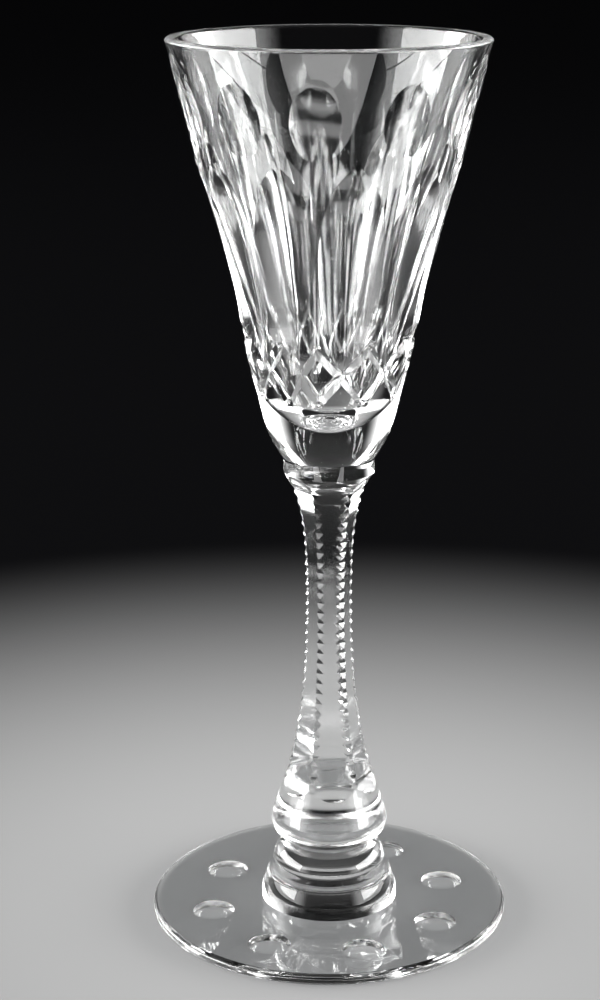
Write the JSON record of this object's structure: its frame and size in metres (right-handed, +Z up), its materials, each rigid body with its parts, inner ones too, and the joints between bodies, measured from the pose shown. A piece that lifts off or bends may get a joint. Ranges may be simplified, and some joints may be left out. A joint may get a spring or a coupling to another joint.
{
  "type": "liqueur glass",
  "caption": "Small stemmed liqueur glass in clear cut crystal: conical bowl with round, leaf and diamond cuts, faceted stem with notched edges, ring knops and a flat round foot.",
  "frame": {"origin": "centre of the foot's flat underside, on the table", "axes": "+Z up along the glass's axis, from the foot to the rim; -Y towards the viewer of the picture; +X to the viewer's right"},
  "size_m": [0.0572, 0.0572, 0.1391],
  "materials": {
    "crystal": "clear colourless lead crystal, cut and polished"
  },
  "bodies": {
    "root": {"foot": "crystal", "lower_knop": "crystal", "upper_knop": "crystal", "stem": "crystal", "collar": "crystal", "bowl": "crystal"}
  },
  "joints": []
}
